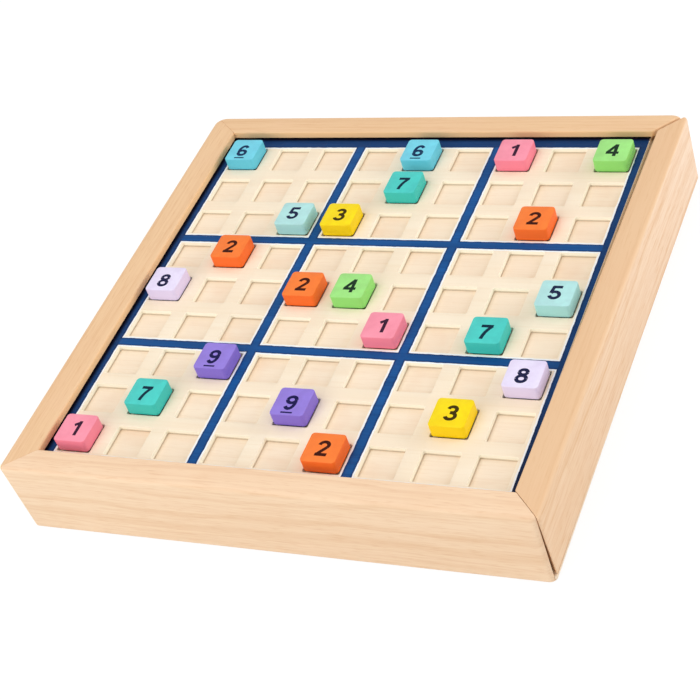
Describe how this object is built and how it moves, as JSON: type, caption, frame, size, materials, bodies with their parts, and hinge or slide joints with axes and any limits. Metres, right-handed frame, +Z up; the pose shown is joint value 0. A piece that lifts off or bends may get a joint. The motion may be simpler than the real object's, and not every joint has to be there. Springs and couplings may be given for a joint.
{
  "type": "sudoku board",
  "caption": "Square wooden sudoku board with a recessed grid of wells, painted number tiles that lift out, and a storage drawer fronted by the right rail.",
  "frame": {"origin": "middle of the underside of the case, with the drawer shut", "axes": "+X to the right, the way the drawer slides out; +Y to the back, the way the digits stand up; +Z up"},
  "size_m": [0.29, 0.291, 0.0468],
  "materials": {
    "pine": "sanded pale pine, clear matt, straight grain along each rail",
    "drawer_pine": "plain sanded pine, unfinished inside the drawer",
    "plywood": "pale birch-faced plywood, matt",
    "printed_board": "plywood printed cream and blue, satin",
    "tile_1": "wood block painted pink, satin",
    "tile_2": "wood block painted orange, satin",
    "tile_3": "wood block painted yellow, satin",
    "tile_4": "wood block painted green, satin",
    "tile_5": "wood block painted pale aqua, satin",
    "tile_6": "wood block painted sky blue, satin",
    "tile_7": "wood block painted teal, satin",
    "tile_8": "wood block painted lavender, satin",
    "tile_9": "wood block painted violet, satin"
  },
  "bodies": {
    "case": {"left_rail": "pine", "front_rail": "pine", "back_rail": "pine", "bottom_panel": "plywood", "backing_sheet": "plywood", "grid_sheet": "printed_board"},
    "drawer": {"drawer_front": "pine", "drawer_side_front": "drawer_pine", "drawer_side_back": "drawer_pine", "drawer_back": "drawer_pine", "drawer_bottom": "plywood", "spare_row_1": "tile_1", "spare_row_2": "tile_2", "spare_row_3": "tile_3", "spare_row_4": "tile_4", "spare_row_5": "tile_5", "spare_row_6": "tile_6", "spare_row_7": "tile_7", "spare_row_8": "tile_8", "spare_row_9": "tile_9"},
    "tile_6_r1c1": {"tile_6_r1c1": "tile_6"},
    "tile_6_r1c5": {"tile_6_r1c5": "tile_6"},
    "tile_1_r1c7": {"tile_1_r1c7": "tile_1"},
    "tile_4_r1c9": {"tile_4_r1c9": "tile_4"},
    "tile_7_r2c5": {"tile_7_r2c5": "tile_7"},
    "tile_5_r3c3": {"tile_5_r3c3": "tile_5"},
    "tile_3_r3c4": {"tile_3_r3c4": "tile_3"},
    "tile_2_r3c8": {"tile_2_r3c8": "tile_2"},
    "tile_2_r4c2": {"tile_2_r4c2": "tile_2"},
    "tile_8_r5c1": {"tile_8_r5c1": "tile_8"},
    "tile_2_r5c4": {"tile_2_r5c4": "tile_2"},
    "tile_4_r5c5": {"tile_4_r5c5": "tile_4"},
    "tile_5_r5c9": {"tile_5_r5c9": "tile_5"},
    "tile_1_r6c6": {"tile_1_r6c6": "tile_1"},
    "tile_7_r6c8": {"tile_7_r6c8": "tile_7"},
    "tile_9_r7c3": {"tile_9_r7c3": "tile_9"},
    "tile_8_r7c9": {"tile_8_r7c9": "tile_8"},
    "tile_7_r8c2": {"tile_7_r8c2": "tile_7"},
    "tile_9_r8c5": {"tile_9_r8c5": "tile_9"},
    "tile_3_r8c8": {"tile_3_r8c8": "tile_3"},
    "tile_1_r9c1": {"tile_1_r9c1": "tile_1"},
    "tile_2_r9c6": {"tile_2_r9c6": "tile_2"}
  },
  "joints": [
    {"name": "drawer_slide", "type": "slide", "parent": "case", "child": "drawer", "axis": [1, 0, 0], "range_m": [0, 0.2]},
    {"name": "lift_6_r1c1", "type": "slide", "parent": "case", "child": "tile_6_r1c1", "axis": [0, 0, 1], "range_m": [0, 0.03]},
    {"name": "lift_6_r1c5", "type": "slide", "parent": "case", "child": "tile_6_r1c5", "axis": [0, 0, 1], "range_m": [0, 0.03]},
    {"name": "lift_1_r1c7", "type": "slide", "parent": "case", "child": "tile_1_r1c7", "axis": [0, 0, 1], "range_m": [0, 0.03]},
    {"name": "lift_4_r1c9", "type": "slide", "parent": "case", "child": "tile_4_r1c9", "axis": [0, 0, 1], "range_m": [0, 0.03]},
    {"name": "lift_7_r2c5", "type": "slide", "parent": "case", "child": "tile_7_r2c5", "axis": [0, 0, 1], "range_m": [0, 0.03]},
    {"name": "lift_5_r3c3", "type": "slide", "parent": "case", "child": "tile_5_r3c3", "axis": [0, 0, 1], "range_m": [0, 0.03]},
    {"name": "lift_3_r3c4", "type": "slide", "parent": "case", "child": "tile_3_r3c4", "axis": [0, 0, 1], "range_m": [0, 0.03]},
    {"name": "lift_2_r3c8", "type": "slide", "parent": "case", "child": "tile_2_r3c8", "axis": [0, 0, 1], "range_m": [0, 0.03]},
    {"name": "lift_2_r4c2", "type": "slide", "parent": "case", "child": "tile_2_r4c2", "axis": [0, 0, 1], "range_m": [0, 0.03]},
    {"name": "lift_8_r5c1", "type": "slide", "parent": "case", "child": "tile_8_r5c1", "axis": [0, 0, 1], "range_m": [0, 0.03]},
    {"name": "lift_2_r5c4", "type": "slide", "parent": "case", "child": "tile_2_r5c4", "axis": [0, 0, 1], "range_m": [0, 0.03]},
    {"name": "lift_4_r5c5", "type": "slide", "parent": "case", "child": "tile_4_r5c5", "axis": [0, 0, 1], "range_m": [0, 0.03]},
    {"name": "lift_5_r5c9", "type": "slide", "parent": "case", "child": "tile_5_r5c9", "axis": [0, 0, 1], "range_m": [0, 0.03]},
    {"name": "lift_1_r6c6", "type": "slide", "parent": "case", "child": "tile_1_r6c6", "axis": [0, 0, 1], "range_m": [0, 0.03]},
    {"name": "lift_7_r6c8", "type": "slide", "parent": "case", "child": "tile_7_r6c8", "axis": [0, 0, 1], "range_m": [0, 0.03]},
    {"name": "lift_9_r7c3", "type": "slide", "parent": "case", "child": "tile_9_r7c3", "axis": [0, 0, 1], "range_m": [0, 0.03]},
    {"name": "lift_8_r7c9", "type": "slide", "parent": "case", "child": "tile_8_r7c9", "axis": [0, 0, 1], "range_m": [0, 0.03]},
    {"name": "lift_7_r8c2", "type": "slide", "parent": "case", "child": "tile_7_r8c2", "axis": [0, 0, 1], "range_m": [0, 0.03]},
    {"name": "lift_9_r8c5", "type": "slide", "parent": "case", "child": "tile_9_r8c5", "axis": [0, 0, 1], "range_m": [0, 0.03]},
    {"name": "lift_3_r8c8", "type": "slide", "parent": "case", "child": "tile_3_r8c8", "axis": [0, 0, 1], "range_m": [0, 0.03]},
    {"name": "lift_1_r9c1", "type": "slide", "parent": "case", "child": "tile_1_r9c1", "axis": [0, 0, 1], "range_m": [0, 0.03]},
    {"name": "lift_2_r9c6", "type": "slide", "parent": "case", "child": "tile_2_r9c6", "axis": [0, 0, 1], "range_m": [0, 0.03]}
  ]
}
